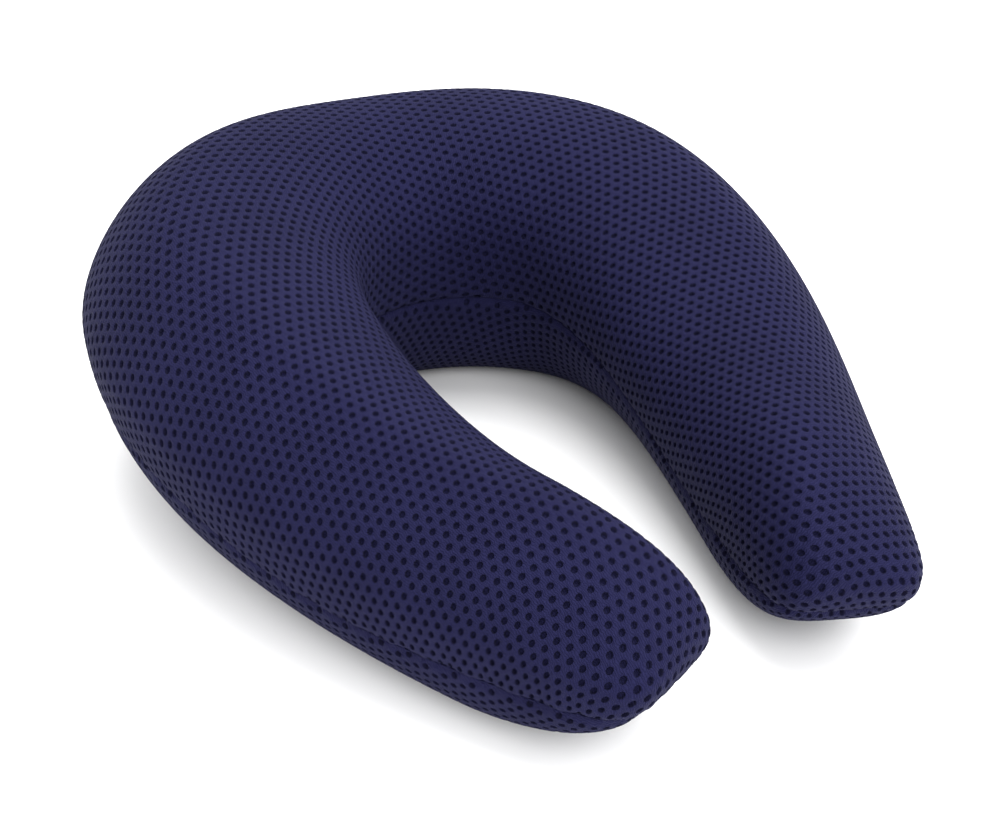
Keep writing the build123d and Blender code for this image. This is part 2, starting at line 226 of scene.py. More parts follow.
def form(distance, angle):
    """Points of the cover's outside. Distance runs from the middle of the back, negative on the
    left; angle runs round the section from its outer side, 90 degrees at the crown."""
    distance, angle = np.broadcast_arrays(distance, np.radians(angle))
    side = np.where(distance < 0, -1.0, 1.0)
    distance = np.abs(distance)
    centre, outward = centre_and_outward(distance)
    along_arm = np.clip((distance - BACK_LENGTH) / ARM_LENGTH, 0, 1)
    along_half = distance / HALF_LENGTH
    along_cap = np.clip((distance - HALF_LENGTH + CAP_LENGTH) / CAP_LENGTH, 0, 1)
    waist = bezier(along_arm, WAIST_HEIGHTS)
    rise = bezier(along_half, CROWN_HEIGHTS) - waist
    drop = waist + SOLE_SINK - TOE_LIFT * along_arm**3
    crown_power = np.where(np.cos(angle) >= 0, OUTER_CROWN_POWER, INNER_CROWN_POWER)
    power = np.where(np.sin(angle) >= 0, crown_power, bezier(along_arm, BELLY_POWERS))
    across = signed_power(np.cos(angle), power)
    upward = signed_power(np.sin(angle), power)
    across = across + bezier(along_half, CROWN_SHIFTS) * np.maximum(upward, 0) * (1 - np.abs(across))
    cap_power = np.where(across > 0, CAP_OUTER_POWER, CAP_INNER_POWER)
    across = across * bezier(along_arm, HALF_WIDTHS) * rounding(along_cap, cap_power)
    upward = upward * np.where(upward > 0, rise, drop) * rounding(along_cap, CAP_HEIGHT_POWER)
    plan = centre + outward * across[..., None]
    return np.stack([side * plan[..., 0], plan[..., 1], np.maximum(waist + upward, 0)], axis=-1)


def seam_height(y):
    along = np.clip((SEAM_DROP_START_Y - y) / (SEAM_DROP_START_Y - SEAM_DROP_END_Y), 0, 1)
    return SEAM_BACK_HEIGHT + (SEAM_TIP_HEIGHT - SEAM_BACK_HEIGHT) * along**2 * (3 - 2 * along)


def above_seam(points):
    return points[..., 2] - seam_height(points[..., 1])


def row_distances(body_rows, cap_rows):
    """Rows along the whole U, from the left tip to the right one, closer together at the tips."""
    body = np.linspace(0, HALF_LENGTH - CAP_LENGTH, body_rows, endpoint=False)
    cap = HALF_LENGTH - CAP_LENGTH + CAP_LENGTH * np.sin(np.linspace(0, np.pi / 2, cap_rows + 1))
    half = np.concatenate([body, cap])
    return np.concatenate([-half[:0:-1], half])


def closed_grid(distances, first_angle, columns):
    """The form as rows of points round the section and triangles between them, the first and last
    row being one point each."""
    angles = first_angle + 360 * np.arange(columns) / columns
    rows = form(distances[:, None], angles[None, :])
    points = np.concatenate([rows[0, :1], rows[1:-1].reshape(-1, 3), rows[-1, :1]])
    count = len(distances)
    index = np.arange(count * columns).reshape(count, columns) - columns + 1
    index[0] = 0
    index[-1] = len(points) - 1
    after = np.roll(index, -1, axis=1)
    lower = np.stack([index[:-1], after[:-1], after[1:]], axis=-1).reshape(-1, 3)
    upper = np.stack([index[:-1], after[1:], index[1:]], axis=-1).reshape(-1, 3)
    triangles = np.concatenate([lower, upper])
    distinct = (triangles[:, 0] != triangles[:, 1]) & (triangles[:, 1] != triangles[:, 2])
    distinct &= triangles[:, 0] != triangles[:, 2]
    return rows, points, index, triangles[distinct]


def nearest_tree(points, triangles):
    return BVHTree.FromPolygons(points.tolist(), triangles.tolist(), all_triangles=True)


def fine_surface():
    distances = row_distances(FINE_BODY_ROWS, FINE_CAP_ROWS)
    _, points, _, triangles = closed_grid(distances, 0, FINE_COLUMNS)
    return nearest_tree(points, triangles)


SURFACE = fine_surface()


def on_surface(points):
    """The nearest points of the form, and the directions straight out of it there."""
    places = np.empty_like(points)
    normals = np.empty_like(points)
    for index, point in enumerate(points.tolist()):
        place, normal, _, _ = SURFACE.find_nearest(point)
        places[index] = place
        normals[index] = normal
    normals[normals[:, 2] < -0.999] = (0, 0, -1)
    return places, normals


# Sewing patterns.


def first_layout(rows, distances, middle, side):
    """A rough flat layout of a panel: the U opened out, with each section unrolled across it."""
    steps = np.linalg.norm(np.diff(np.concatenate([rows, rows[:, :1]], axis=1), axis=1), axis=-1)
    around = np.concatenate([np.zeros((len(rows), 1)), np.cumsum(steps, axis=1)[:, :-1]], axis=1)
    out_across = side * (around - around[:, middle:middle + 1])
    _, outward = centre_and_outward(np.abs(distances))
    turn = np.degrees(np.arctan2(outward[:, 0], outward[:, 1])) * np.sign(distances) * PATTERN_CURVATURE
    line = np.zeros((len(rows), 2))
    lengths = np.linalg.norm(np.diff(rows[:, middle], axis=0), axis=-1)
    for row in range(1, len(rows)):
        line[row] = line[row - 1] + heading((turn[row - 1] + turn[row]) / 2 + 90) * lengths[row - 1]
    layout = line[:, None] + heading(turn)[:, None] * out_across[..., None]
    layout[..., 0] *= -side
    return layout


def flat_corners(points, triangles):
    """Each triangle laid flat on its own, without stretch."""
    first = points[triangles[:, 1]] - points[triangles[:, 0]]
    second = points[triangles[:, 2]] - points[triangles[:, 0]]
    length = np.linalg.norm(first, axis=1)
    along = np.sum(first * second, axis=1) / length
    across = np.linalg.norm(np.cross(first, second), axis=1) / length
    corners = np.zeros((len(triangles), 3, 2))
    corners[:, 1, 0] = length
    corners[:, 2, 0] = along
    corners[:, 2, 1] = across
    return corners


def slackness(y):
    """How much larger than the worn cloth its flat pattern is."""
    along = np.clip((PITCH_CHANGE_START_Y - y) / (PITCH_CHANGE_START_Y - PITCH_CHANGE_END_Y), 0, 1)
    return HOLE_PITCH / (HOLE_PITCH + (TIP_HOLE_PITCH - HOLE_PITCH) * along)


def relax(points, triangles, layout):
    """Evens out the stretch of a flat layout: every triangle is turned to fit, then all are joined."""
    corners = flat_corners(points, triangles)
    corners = corners * slackness(points[triangles][..., 1].mean(axis=1))[:, None, None]
    count = len(points)
    matrix = np.zeros((count, count))
    edges = []
    for opposite in range(3):
        start, end = (opposite + 1) % 3, (opposite + 2) % 3
        to_start = corners[:, start] - corners[:, opposite]
        to_end = corners[:, end] - corners[:, opposite]
        area = np.abs(to_start[:, 0] * to_end[:, 1] - to_start[:, 1] * to_end[:, 0])
        weight = np.clip(np.sum(to_start * to_end, axis=1) / np.maximum(area, 1e-6), 0.02, 5)
        a, b = triangles[:, start], triangles[:, end]
        for row, column, sign in ((a, a, 1), (b, b, 1), (a, b, -1), (b, a, -1)):
            np.add.at(matrix, (row, column), sign * weight)
        edges.append((a, b, weight, corners[:, start] - corners[:, end]))
    matrix[0, 0] += 1
    inverse = np.linalg.inv(matrix)
    for _ in range(PATTERN_ROUNDS):
        cosine = np.zeros(len(triangles))
        sine = np.zeros(len(triangles))
        for a, b, weight, rest in edges:
            now = layout[a] - layout[b]
            cosine += weight * np.sum(rest * now, axis=1)
            sine += weight * (rest[:, 0] * now[:, 1] - rest[:, 1] * now[:, 0])
        size = np.maximum(np.hypot(cosine, sine), 1e-9)
        cosine, sine = cosine / size, sine / size
        target = np.zeros((count, 2))
        for a, b, weight, rest in edges:
            turned = np.stack([cosine * rest[:, 0] - sine * rest[:, 1],
                               sine * rest[:, 0] + cosine * rest[:, 1]], axis=1)
            np.add.at(target, a, weight[:, None] * turned)
            np.add.at(target, b, -weight[:, None] * turned)
        target[0] += layout[0]
        layout = inverse @ target
    return layout


def pattern(side):
    """One panel laid flat: the side is 1 for the top panel and -1 for the bottom one."""
    distances = row_distances(PATTERN_BODY_ROWS, PATTERN_CAP_ROWS)
    rows, points, index, triangles = closed_grid(distances, -90 * side, PATTERN_COLUMNS)
    layout = np.zeros((len(points), 2))
    layout[index] = first_layout(rows, distances, PATTERN_COLUMNS // 2, -side)
    inside = (above_seam(points) * side > -PATTERN_MARGIN)[triangles].any(axis=1)
    triangles = triangles[inside]
    used, triangles = np.unique(triangles, return_inverse=True)
    triangles = triangles.reshape(-1, 3)
    points = points[used]
    return points, triangles, relax(points, triangles, layout[used])


class Panel:
    """Wraps flat pattern places back round the form."""

    def __init__(self, side):
        self.points, self.triangles, self.layout = pattern(side)
        flat = np.pad(self.layout, ((0, 0), (0, 1)))
        self.tree = nearest_tree(flat, self.triangles)

    def wrap(self, places):
        """Points of the form at flat places, and which of the places lie on the pattern."""
        found = np.zeros(len(places), int)
        on_pattern = np.zeros(len(places), bool)
        for index, (x, y) in enumerate(places.tolist()):
            _, _, found[index], gap = self.tree.find_nearest((x, y, 0))
            on_pattern[index] = gap < 0.001
        corner = self.triangles[found]
        origin = self.layout[corner[:, 0]]
        first = self.layout[corner[:, 1]] - origin
        second = self.layout[corner[:, 2]] - origin
        offset = places - origin
        area = first[:, 0] * second[:, 1] - first[:, 1] * second[:, 0]
        b = (offset[:, 0] * second[:, 1] - offset[:, 1] * second[:, 0]) / area
        c = (first[:, 0] * offset[:, 1] - first[:, 1] * offset[:, 0]) / area
        shares = np.stack([1 - b - c, b, c], axis=1)
        rough = np.sum(self.points[corner] * shares[..., None], axis=1)
        return rough, on_pattern


# Mesh fabric.


def ring(sides, half_width, half_length, first_angle):
    angles = np.radians(first_angle + 360 * np.arange(sides) / sides)
    return np.stack([half_width * np.cos(angles), half_length * np.sin(angles)], axis=1)


def cell_faces():
    """Faces of one lattice cell: corners 0 to 5, then the hole's rim, wall foot and floor."""
    faces = []
    corner, rim = 0, 0
    corner_angles = [30 + 60 * step for step in range(7)]
    rim_angles = [30 + 360 / HOLE_SIDES * step for step in range(HOLE_SIDES + 1)]
    while corner < 6 or rim < HOLE_SIDES:
        rim_next = rim < HOLE_SIDES and (corner == 6 or rim_angles[rim + 1] <= corner_angles[corner + 1])
        a, b = corner % 6, 6 + rim % HOLE_SIDES
        if rim_next:
            rim += 1
            faces.append((a, 6 + rim % HOLE_SIDES, b))
        else:
            corner += 1
            faces.append((a, corner % 6, b))
    for step in range(HOLE_SIDES):
        a, b = 6 + step, 6 + (step + 1) % HOLE_SIDES
        faces.append((a, b, b + HOLE_SIDES, a + HOLE_SIDES))
    floor = tuple(6 + HOLE_SIDES + step for step in range(HOLE_SIDES))
    return faces, floor


def lattice_centres(panel):
    """Hole centres in staggered rows round the middle of the pattern, and that middle."""
    low = panel.layout.min(axis=0) - HOLE_PITCH
    high = panel.layout.max(axis=0) + HOLE_PITCH
    reach = np.linalg.norm(high - low) / 2
    middle = (low + high) / 2
    row_pitch = HOLE_PITCH * np.sqrt(0.75)
    columns = np.arange(-np.ceil(reach / HOLE_PITCH), np.ceil(reach / HOLE_PITCH) + 1)
    rows = np.arange(-np.ceil(reach / row_pitch), np.ceil(reach / row_pitch) + 1)
    column, row = np.meshgrid(columns, rows)
    x = (column + 0.5 * (row % 2)) * HOLE_PITCH
    centres = np.stack([x.ravel(), (row * row_pitch).ravel()], axis=1)
    return centres, middle


def turned(places, angle):
    cosine, sine = np.cos(np.radians(angle)), np.sin(np.radians(angle))
    return places @ np.array([[cosine, sine], [-sine, cosine]])


def in_slot_range(points, margin):
    """Whether points are on the outside of the back, between the ends of the zip's slot."""
    angle = np.degrees(np.arctan2(np.abs(points[:, 0]), points[:, 1]))
    return (np.hypot(points[:, 0], points[:, 1]) > BACK_RADIUS) & (angle < SLOT_HALF_ANGLE + margin)


def distance_to_seam(points, normals):
    """How far along the cloth the seam is."""
    steepness = np.maximum(np.sqrt(1 - normals[:, 2] ** 2), LEAST_STEEPNESS)
    return np.abs(above_seam(points)) / steepness


def clear_of_edges(points, normals):
    """Whether points are far enough from the seam and from the zip's slot for a whole hole."""
    from_seam = distance_to_seam(points, normals)
    from_slot = np.abs(from_seam - SLOT_HALF_HEIGHT)
    return np.where(in_slot_range(points, 0), from_slot, from_seam) > EDGE_MARGIN


def fabric_net(panel, side, hand, lattice_angle):
    """The lattice of holes over one half of a panel, before it is trimmed at the seam."""
    centres, middle = lattice_centres(panel)
    centre_points, on_pattern = panel.wrap(turned(centres, lattice_angle) + middle)
    keep = on_pattern & (above_seam(centre_points) * side > -HOLE_PITCH)
    keep &= centre_points[:, 0] * hand > 0
    centres = centres[keep]
    centre_points, centre_normals = on_surface(centre_points[keep])
    corners = ring(6, HOLE_PITCH / np.sqrt(3), HOLE_PITCH / np.sqrt(3), 30)
    corner_places = (centres[:, None] + corners).reshape(-1, 2)
    _, first, shared = np.unique(
        np.round(corner_places * 100).astype(int), axis=0, return_index=True, return_inverse=True)
    corner_places = corner_places[first]
    rim = ring(HOLE_SIDES, HOLE_HALF_WIDTH, HOLE_HALF_LENGTH, 30)
    rim_places = (centres[:, None] + rim).reshape(-1, 2)
    places = np.concatenate([corner_places, rim_places])
    flat = turned(places, lattice_angle) + middle
    points, normals = on_surface(panel.wrap(flat)[0])
    corner_count = len(corner_places)
    middles = points[:corner_count] - normals[:corner_count] * WEB_DROP
    rims = points[corner_count:].reshape(-1, HOLE_SIDES, 3)
    open_cells = clear_of_edges(centre_points, centre_normals)
    depths = np.where(open_cells, HOLE_DEPTH, 0)
    inwards = (rims - centre_points[:, None]) * HOLE_TAPER
    feet = centre_points[:, None] + inwards - centre_normals[:, None] * depths[:, None, None]
    vertices = np.concatenate([middles, rims.reshape(-1, 3), feet.reshape(-1, 3)])
    flat = np.concatenate([flat, flat[corner_count:]])
    cell_count = len(centres)
    rim_index = corner_count + np.arange(cell_count * HOLE_SIDES).reshape(cell_count, HOLE_SIDES)
    foot_index = rim_index + cell_count * HOLE_SIDES
    local = np.concatenate([shared.reshape(cell_count, 6), rim_index, foot_index], axis=1)
    faces, floor = cell_faces()
    walls = faces[-HOLE_SIDES:]
    webs = [cell for face in faces[:-HOLE_SIDES] for cell in local[:, face].tolist()]
    webs += [cell for face in walls + [floor] for cell in local[~open_cells][:, face].tolist()]
    walls = [cell for face in walls for cell in local[open_cells][:, face].tolist()]
    return vertices, flat, webs, walls, local[open_cells][:, floor].tolist()


def trim(mesh, side):
    """Cuts a panel along the seam, doubles its edge there, ready to turn in, and opens the zip's
    slot. The seam lies in the plane Z = 0."""
    bm = bmesh.new()
    bm.from_mesh(mesh)
    turned_in = bm.verts.layers.int.new("turned_in")

    def cut(faces, point, direction, clear=False):
        geometry = {part for face in faces for part in (*face.verts, *face.edges, face)}
        return bmesh.ops.bisect_plane(bm, geom=list(geometry), dist=1e-7, plane_co=point,
                                      plane_no=direction, clear_outer=clear)["geom_cut"]

    def slot_faces(past_end, past_edge):
        found = []
        for face in bm.faces:
            x, y, z = (value / MM for value in face.calc_center_median())
            turn = np.degrees(np.arctan2(abs(x), y))
            at_height = abs(z) < SLOT_HALF_HEIGHT + past_edge
            if np.hypot(x, y) > BACK_RADIUS and turn < SLOT_HALF_ANGLE + past_end and at_height:
                found.append(face)
        return found

    rim = cut(bm.faces[:], (0, 0, side * SEAM_GAP / 2 * MM), (0, 0, -side), True)
    rim_edges = [part for part in rim if isinstance(part, bmesh.types.BMEdge)]
    for part in bmesh.ops.extrude_edge_only(bm, edges=rim_edges)["geom"]:
        if isinstance(part, bmesh.types.BMVert):
            part[turned_in] = 1
    nearby = (SLOT_SEARCH_ANGLE, SLOT_HALF_HEIGHT)
    cut(slot_faces(*nearby), (0, 0, side * SLOT_HALF_HEIGHT * MM), (0, 0, -side))
    for turn in (-SLOT_HALF_ANGLE, SLOT_HALF_ANGLE):
        cut(slot_faces(*nearby), (0, 0, 0), (*heading(turn + 90), 0))
    bmesh.ops.delete(bm, geom=slot_faces(0, 0), context="FACES")
    bm.to_mesh(mesh)
    bm.free()


def mesh_points(mesh):
    flat = np.empty(len(mesh.vertices) * 3)
    mesh.vertices.foreach_get("co", flat)
    return flat.reshape(-1, 3) / MM


def set_mesh_points(mesh, points):
    mesh.vertices.foreach_set("co", (points * MM).ravel())
    mesh.update()


def sewn_in(points, turned_in):
    """Pulls the cloth inwards along the seam, round the zip's slot and under its stitches, and
    turns the doubled edge in."""
    near = np.flatnonzero(np.abs(above_seam(points)) < PULL_REACH)
    _, normals = on_surface(points[near])
    from_seam = distance_to_seam(points[near], normals)
    x, y = points[near, 0], points[near, 1]
    wave = np.sin(2 * np.pi * (x + PUCKER_SLANT * y) / PUCKER_PITCH)
    wave *= np.sin(2 * np.pi * (y - CROSS_PUCKER_SLANT * x) / CROSS_PUCKER_PITCH)
    depth = GROOVE_DEPTH * np.exp(-((from_seam / GROOVE_WIDTH) ** 2))
    depth += PUCKER_SIZE * (1 + wave) * np.exp(-((from_seam / PUCKER_WIDTH) ** 2))
    depth += SEAM_ALLOWANCE * turned_in[near]
    fold = SLOT_FOLD_DEPTH * np.exp(-(((from_seam - SLOT_HALF_HEIGHT) / SLOT_FOLD_WIDTH) ** 2))
    from_stitches = (from_seam - ZIP_STITCH_HEIGHT) / ZIP_STITCH_SINK_WIDTH
    sink = ZIP_STITCH_SINK * np.exp(-(from_stitches**2))
    depth = np.where(in_slot_range(points[near], 0), fold + sink, depth)
    points[near] -= normals * depth[:, None]
    points[:, 2] = np.maximum(points[:, 2], 0)
    return points


def add_object(name, mesh, body, *materials):
    thing = bpy.data.objects.new(name, mesh)
    bpy.context.scene.collection.objects.link(thing)
    for material in materials:
        mesh.materials.append(material)
    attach(thing, body)
    return thing


def cover_half(name, panel, side, hand, lattice_angle, *yarns):
    """Half a cover panel. The yarns are those of its face, its holes' walls and their floors; the walls'
    and floors' yarns are darker, painted shade inside the holes.
    """
    vertices, flat, webs, walls, floors = fabric_net(panel, side, hand, lattice_angle)
    points = vertices.copy()
    points[:, 2] -= seam_height(points[:, 1])
    mesh = bpy.data.meshes.new(name)
    mesh.from_pydata((points * MM).tolist(), [], webs + walls + floors)
    layer = mesh.uv_layers.new(name="pattern")
    loops = np.empty(len(mesh.loops), int)
    mesh.loops.foreach_get("vertex_index", loops)
    layer.data.foreach_set("uv", (flat[loops] * MM).ravel())
    yarn_index = np.repeat([0, 1, 2], [len(webs), len(walls), len(floors)])
    mesh.polygons.foreach_set("material_index", yarn_index)
    trim(mesh, side)
    turned_in = np.empty(len(mesh.vertices), int)
    mesh.attributes["turned_in"].data.foreach_get("value", turned_in)
    points = mesh_points(mesh)
    points[:, 2] += seam_height(points[:, 1])
    set_mesh_points(mesh, sewn_in(points, turned_in))
    mesh.polygons.foreach_set("use_smooth", np.ones(len(mesh.polygons), bool))
    return add_object(name, mesh, "pillow", *yarns)


# Stitches.


def spaced(points, pitch):
    """Points a pitch apart along a line, with the directions along it."""
    lengths = np.concatenate([[0], np.cumsum(np.linalg.norm(np.diff(points, axis=0), axis=1))])
    count = int(lengths[-1] / pitch)
    along = (np.arange(count) + 0.5) * lengths[-1] / count
    ahead = np.minimum(along + pitch / 4, lengths[-1])
    behind = np.maximum(along - pitch / 4, 0)

    def at(where):
        return np.stack([np.interp(where, lengths, points[:, axis]) for axis in range(3)], axis=1)

    direction = at(ahead) - at(behind)
    return at(along), direction / np.linalg.norm(direction, axis=1, keepdims=True)


def stitches(name, lines, material, pitch, length, radius, depth):
    """A row of short threads along each line, lying on the cloth and diving in at both ends."""
    rows = [spaced(line, pitch) for line in lines]
    along = np.concatenate([directions for _, directions in rows])
    places, normals = on_surface(np.concatenate([middles for middles, _ in rows]))
    steps = np.linspace(-1, 1, STITCH_RINGS)
    vertices, faces = [], []
    for place, direction, normal in zip(places, along, normals):
        direction = direction - normal * np.dot(direction, normal)
        direction /= np.linalg.norm(direction)
        across = np.cross(normal, direction)
        start = len(vertices)
        for step in steps:
            rise = radius * (STITCH_LIFT - STITCH_DIVE * step**4) - depth
            middle = place + direction * step * length / 2 + normal * rise
            swelling = (1 - STITCH_END_FULLNESS) * np.sqrt(1 - step**2)
            fullness = radius * (STITCH_END_FULLNESS + swelling)
            for side in range(STITCH_SIDES):
                angle = 2 * np.pi * side / STITCH_SIDES
                outward = np.cos(angle) * across + np.sin(angle) * normal
                vertices.append((middle + fullness * outward) * MM)
        for ring_index in range(STITCH_RINGS - 1):
            for side in range(STITCH_SIDES):
                a = start + ring_index * STITCH_SIDES + side
                b = start + ring_index * STITCH_SIDES + (side + 1) % STITCH_SIDES
                faces.append((a, b, b + STITCH_SIDES, a + STITCH_SIDES))
        last = start + (STITCH_RINGS - 1) * STITCH_SIDES
        faces.append(tuple(range(start + STITCH_SIDES - 1, start - 1, -1)))
        faces.append(tuple(range(last, last + STITCH_SIDES)))
    mesh = bpy.data.meshes.new(name)
    mesh.from_pydata(vertices, [], faces)
    mesh.polygons.foreach_set("use_smooth", np.ones(len(mesh.polygons), bool))
    return add_object(name, mesh, "pillow", material)


def seam_line():
    """The seam as two lines of points from left to right: round the outside of the U and the inside."""
    distances = row_distances(FINE_BODY_ROWS, SEAM_LINE_ROWS)
    outer_angles = np.linspace(-90, 80, SEAM_LINE_COLUMNS)
    inner_angles = np.linspace(270, 100, SEAM_LINE_COLUMNS)
    sides = []
    for angles in (outer_angles, inner_angles):
        rows = form(distances[:, None], angles[None, :])
        height = above_seam(rows)
        crossed = (height[:, :-1] < 0) & (height[:, 1:] >= 0)
        line = []
        for row in np.flatnonzero(crossed.any(axis=1)):
            column = np.argmax(crossed[row])
            share = -height[row, column] / (height[row, column + 1] - height[row, column])
            line.append(rows[row, column] * (1 - share) + rows[row, column + 1] * share)
        sides.append(np.array(line))
    return sides[0], sides[1]


def zip_line(height):
    """A line round the back, a height up the wall from the middle of the zip."""
    angles = np.linspace(-SLOT_HALF_ANGLE, SLOT_HALF_ANGLE, SLOT_LINE_POINTS)
    distances = np.radians(angles) * BACK_RADIUS
    section = np.linspace(*WALL_ANGLES, WALL_POINTS)
    wall = form(np.zeros(1), section)
    column = np.argmin(np.abs(above_seam(wall) - height))
    return form(distances, section[column])


def tack_line(angle):
    """A line up the wall across one end of the zip."""
    section = np.linspace(*WALL_ANGLES, WALL_POINTS)
    wall = form(np.radians(angle) * BACK_RADIUS, section)
    return wall[np.abs(above_seam(wall)) < TACK_HALF_HEIGHT]


# Materials.


def material(name):
    made = bpy.data.materials.new(name)
    made.use_nodes = True
    nodes = made.node_tree.nodes
    links = made.node_tree.links
    return made, nodes, links, nodes["Principled BSDF"]


def texture(nodes, links, kind, coordinates, scale, **settings):
    node = nodes.new(kind)
    node.inputs["Scale"].default_value = scale
    for key, value in settings.items():
        if key in node.inputs:
            node.inputs[key].default_value = value
        else:
            setattr(node, key, value)
    links.new(coordinates, node.inputs["Vector"])
    return node


def colour_mix(nodes, links, amount, dark, light):
    ramp = nodes.new("ShaderNodeValToRGB")
    ramp.color_ramp.elements[0].color = (*dark, 1)
    ramp.color_ramp.elements[1].color = (*light, 1)
    links.new(amount, ramp.inputs["Fac"])
    return ramp.outputs["Color"]


def bump(nodes, links, height, strength, distance):
    node = nodes.new("ShaderNodeBump")
    node.inputs["Strength"].default_value = strength
    node.inputs["Distance"].default_value = distance
    links.new(height, node.inputs["Height"])
    return node.outputs["Normal"]


def yarn_material(name, dark, light, rib_scale=MESH_RIBS, use_uv=True):
    """Knitted polyester: fine wandering ribs of yarn, with a soft sheen."""
    made, nodes, links, shader = material(name)
    place = nodes.new("ShaderNodeTexCoord").outputs["UV" if use_uv else "Object"]
    turn = nodes.new("ShaderNodeMapping")
    turn.inputs["Rotation"].default_value = (0, 0, np.radians(RIB_SLANT))
    links.new(place, turn.inputs["Vector"])
    wander = {"Distortion": 7.0, "Detail Scale": 1.6}
    ribs = texture(nodes, links, "ShaderNodeTexWave", turn.outputs["Vector"], rib_scale, **wander)
    patches = texture(nodes, links, "ShaderNodeTexNoise", place, 26.0, Detail=3.0)
    blend = nodes.new("ShaderNodeMath")
    blend.operation = "MULTIPLY_ADD"
    blend.inputs[1].default_value = 0.7
    links.new(ribs.outputs["Fac"], blend.inputs[0])
    links.new(patches.outputs["Fac"], blend.inputs[2])
    links.new(colour_mix(nodes, links, blend.outputs["Value"], dark, light), shader.inputs["Base Color"])
    strands = texture(nodes, links, "ShaderNodeTexNoise", place, 2.2 * rib_scale, Detail=2.0)
    height = nodes.new("ShaderNodeMath")
    height.operation = "ADD"
    links.new(ribs.outputs["Fac"], height.inputs[0])
    links.new(strands.outputs["Fac"], height.inputs[1])
    links.new(bump(nodes, links, height.outputs["Value"], 0.7, 0.00026), shader.inputs["Normal"])
    shader.inputs["Roughness"].default_value = 0.72
    shader.inputs["Specular IOR Level"].default_value = 0.06
    shader.inputs["Sheen Weight"].default_value = 0.035
    shader.inputs["Sheen Roughness"].default_value = 0.45
    shader.inputs["Sheen Tint"].default_value = (*SHEEN_TINT, 1)
    return made


def woven_material(name, dark, light, scale):
    """Plain weave: two sets of threads at right angles."""
    made, nodes, links, shader = material(name)
    place = nodes.new("ShaderNodeTexCoord").outputs["Object"]
    upright = texture(nodes, links, "ShaderNodeTexWave", place, scale, bands_direction="Z")
    slanting = texture(nodes, links, "ShaderNodeTexWave", place, scale, bands_direction="DIAGONAL")
    weave = nodes.new("ShaderNodeMath")
    weave.operation = "MULTIPLY"
    links.new(upright.outputs["Fac"], weave.inputs[0])
    links.new(slanting.outputs["Fac"], weave.inputs[1])
    links.new(colour_mix(nodes, links, weave.outputs["Value"], dark, light), shader.inputs["Base Color"])
    links.new(bump(nodes, links, weave.outputs["Value"], 0.4, 0.0001), shader.inputs["Normal"])
    shader.inputs["Roughness"].default_value = 0.8
    shader.inputs["Specular IOR Level"].default_value = 0.08
    return made


def hard_material(name, dark, light, roughness, grain_scale):
    """Moulded or painted: slight unevenness, corners a little lighter, partly rubbed wear and partly
    painted highlight, and hollows darker with painted shade.
    """
    made, nodes, links, shader = material(name)
    place = nodes.new("ShaderNodeTexCoord").outputs["Object"]
    grain = texture(nodes, links, "ShaderNodeTexNoise", place, grain_scale, Detail=4.0)
    rubbed_edges_and_shaded_hollows = nodes.new("ShaderNodeNewGeometry")
    blend = nodes.new("ShaderNodeMath")
    blend.operation = "MULTIPLY_ADD"
    blend.inputs[1].default_value = 0.6
    # Pointiness lightens the corners, as rubbed wear and painted highlight, and darkens the hollows with
    # painted shade.
    links.new(rubbed_edges_and_shaded_hollows.outputs["Pointiness"], blend.inputs[0])
    links.new(grain.outputs["Fac"], blend.inputs[2])
    links.new(colour_mix(nodes, links, blend.outputs["Value"], dark, light), shader.inputs["Base Color"])
    links.new(bump(nodes, links, grain.outputs["Fac"], 0.15, 0.0001), shader.inputs["Normal"])
    shader.inputs["Roughness"].default_value = roughness
    shader.inputs["Specular IOR Level"].default_value = 0.22
    return made


def foam_material(name):
    """Open cells."""
    made, nodes, links, shader = material(name)
    place = nodes.new("ShaderNodeTexCoord").outputs["Object"]
    cells = texture(nodes, links, "ShaderNodeTexVoronoi", place, 900.0)
    links.new(colour_mix(nodes, links, cells.outputs["Distance"], *FOAM), shader.inputs["Base Color"])
    links.new(bump(nodes, links, cells.outputs["Distance"], 0.5, 0.0004), shader.inputs["Normal"])
    shader.inputs["Roughness"].default_value = 0.95
    return made


def paint(node, made):
    """Gives a CAD node its finish."""
    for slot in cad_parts[node].material_slots:
        slot.material = made


# Floor, light and camera.


def add_floor():
    mesh = bpy.data.meshes.new("floor")
    size = FLOOR_HALF_SIZE
    corners = [(-size, -size, 0), (size, -size, 0), (size, size, 0), (-size, size, 0)]
    mesh.from_pydata(corners, [], [(0, 1, 2, 3)])
    floor = bpy.data.objects.new("floor", mesh)
    bpy.context.scene.collection.objects.link(floor)
    made, nodes, links, shader = material("pale_floor")
    place = nodes.new("ShaderNodeTexCoord").outputs["Object"]
    cloud = texture(nodes, links, "ShaderNodeTexNoise", place, 3.0, Detail=2.0)
    links.new(colour_mix(nodes, links, cloud.outputs["Fac"], *FLOOR_PAPER), shader.inputs["Base Color"])
    shader.inputs["Roughness"].default_value = 0.9
    mesh.materials.append(made)


def add_light(name, place, size, watts):
    light = bpy.data.lights.new(name, "AREA")
    light.shape = "DISK"
    light.size = size
    light.energy = watts
    thing = bpy.data.objects.new(name, light)
    thing.location = place
    aim = Vector(LIGHT_TARGET) - Vector(place)
    thing.rotation_euler = aim.to_track_quat("-Z", "Y").to_euler()
    bpy.context.scene.collection.objects.link(thing)


def add_world():
    world = bpy.data.worlds.new("studio")
    world.use_nodes = True
    world.node_tree.nodes["Background"].inputs["Color"].default_value = (1, 1, 1, 1)
    world.node_tree.nodes["Background"].inputs["Strength"].default_value = WORLD_STRENGTH
    bpy.context.scene.world = world


